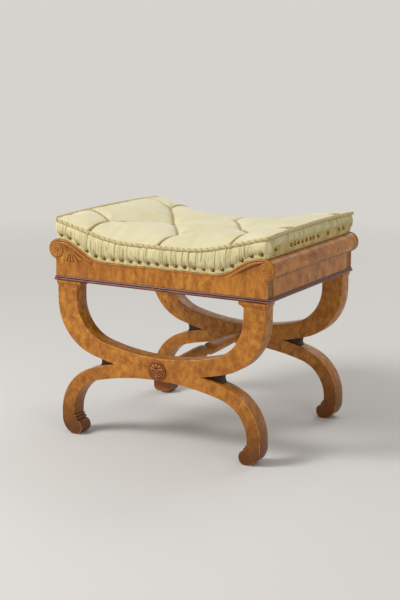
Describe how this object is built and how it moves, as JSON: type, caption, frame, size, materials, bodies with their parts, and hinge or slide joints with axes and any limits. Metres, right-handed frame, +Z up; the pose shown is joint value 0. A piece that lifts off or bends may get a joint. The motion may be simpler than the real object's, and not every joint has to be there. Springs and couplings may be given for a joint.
{
  "type": "x frame stool",
  "caption": "Low rectangular stool on crossed curved frames, with a boxed seat with scrolled ends and a tufted saddle-shaped cushion edged with twisted cord and nails.",
  "frame": {"origin": "on the floor, under the middle of the seat", "axes": "+X along the long side to the right seen from the front, +Y to the back, +Z up"},
  "size_m": [0.59, 0.475, 0.5263],
  "materials": {
    "flame_birch": "figured birch veneer, old golden-brown french polish",
    "apron_birch": "flame birch veneer with vertical figure, french polish",
    "stained_moulding": "dark red-brown stained birch, polished",
    "filler_wood": "dark stained birch",
    "carved_birch": "carved birch, red-brown stain, worn high spots",
    "turned_birch": "turned birch, french polish",
    "seat_pine": "unfinished pine",
    "dowel_beech": "unfinished beech",
    "screw_steel": "dull old steel",
    "tack_steel": "blued steel",
    "nail_brass": "antique brass, dark patina",
    "jute_webbing": "woven jute",
    "hessian": "plain woven hessian",
    "horsehair": "stitched horsehair under calico",
    "twine": "waxed linen twine",
    "silk": "ivory silk, soft sheen",
    "gold_rope": "twisted gold and tan silk cord",
    "gold_braid": "woven gold braid",
    "dust_cloth": "black cotton"
  },
  "bodies": {
    "root": {"back_apron": "apron_birch", "back_band": "silk", "back_left_corner_block": "seat_pine", "back_left_post_cap": "stained_moulding", "back_left_wedge": "filler_wood", "back_lower_arch": "flame_birch", "back_moulding": "stained_moulding", "back_nails": "nail_brass", "back_pendant": "carved_birch", "back_rail": "seat_pine", "back_right_corner_block": "seat_pine", "back_right_post_cap": "stained_moulding", "back_right_wedge": "filler_wood", "back_rosette": "carved_birch", "back_seam_dowels": "dowel_beech", "back_upper_arch": "flame_birch", "bottom_cloth": "dust_cloth", "corner_screws": "screw_steel", "cross_webbing": "jute_webbing", "front_apron": "apron_birch", "front_band": "silk", "front_left_corner_block": "seat_pine", "front_left_post_cap": "stained_moulding", "front_left_wedge": "filler_wood", "front_lower_arch": "flame_birch", "front_moulding": "stained_moulding", "front_nails": "nail_brass", "front_pendant": "carved_birch", "front_rail": "seat_pine", "front_right_corner_block": "seat_pine", "front_right_post_cap": "stained_moulding", "front_right_wedge": "filler_wood", "front_rosette": "carved_birch", "front_seam_dowels": "dowel_beech", "front_upper_arch": "flame_birch", "hessian": "hessian", "left_band": "silk", "left_braid": "gold_braid", "left_end_apron": "apron_birch", "left_end_roll": "apron_birch", "left_moulding": "stained_moulding", "left_nails": "nail_brass", "left_rail": "seat_pine", "long_webbing": "jute_webbing", "post_tenons": "dowel_beech", "rail_dowels": "dowel_beech", "right_band": "silk", "right_braid": "gold_braid", "right_end_apron": "apron_birch", "right_end_roll": "apron_birch", "right_moulding": "stained_moulding", "right_nails": "nail_brass", "right_rail": "seat_pine", "rope_piping": "gold_rope", "stretcher": "turned_birch", "stuffing_pad": "horsehair", "top_cover": "silk", "tuft_ties": "twine", "webbing_tacks": "tack_steel"}
  },
  "joints": []
}
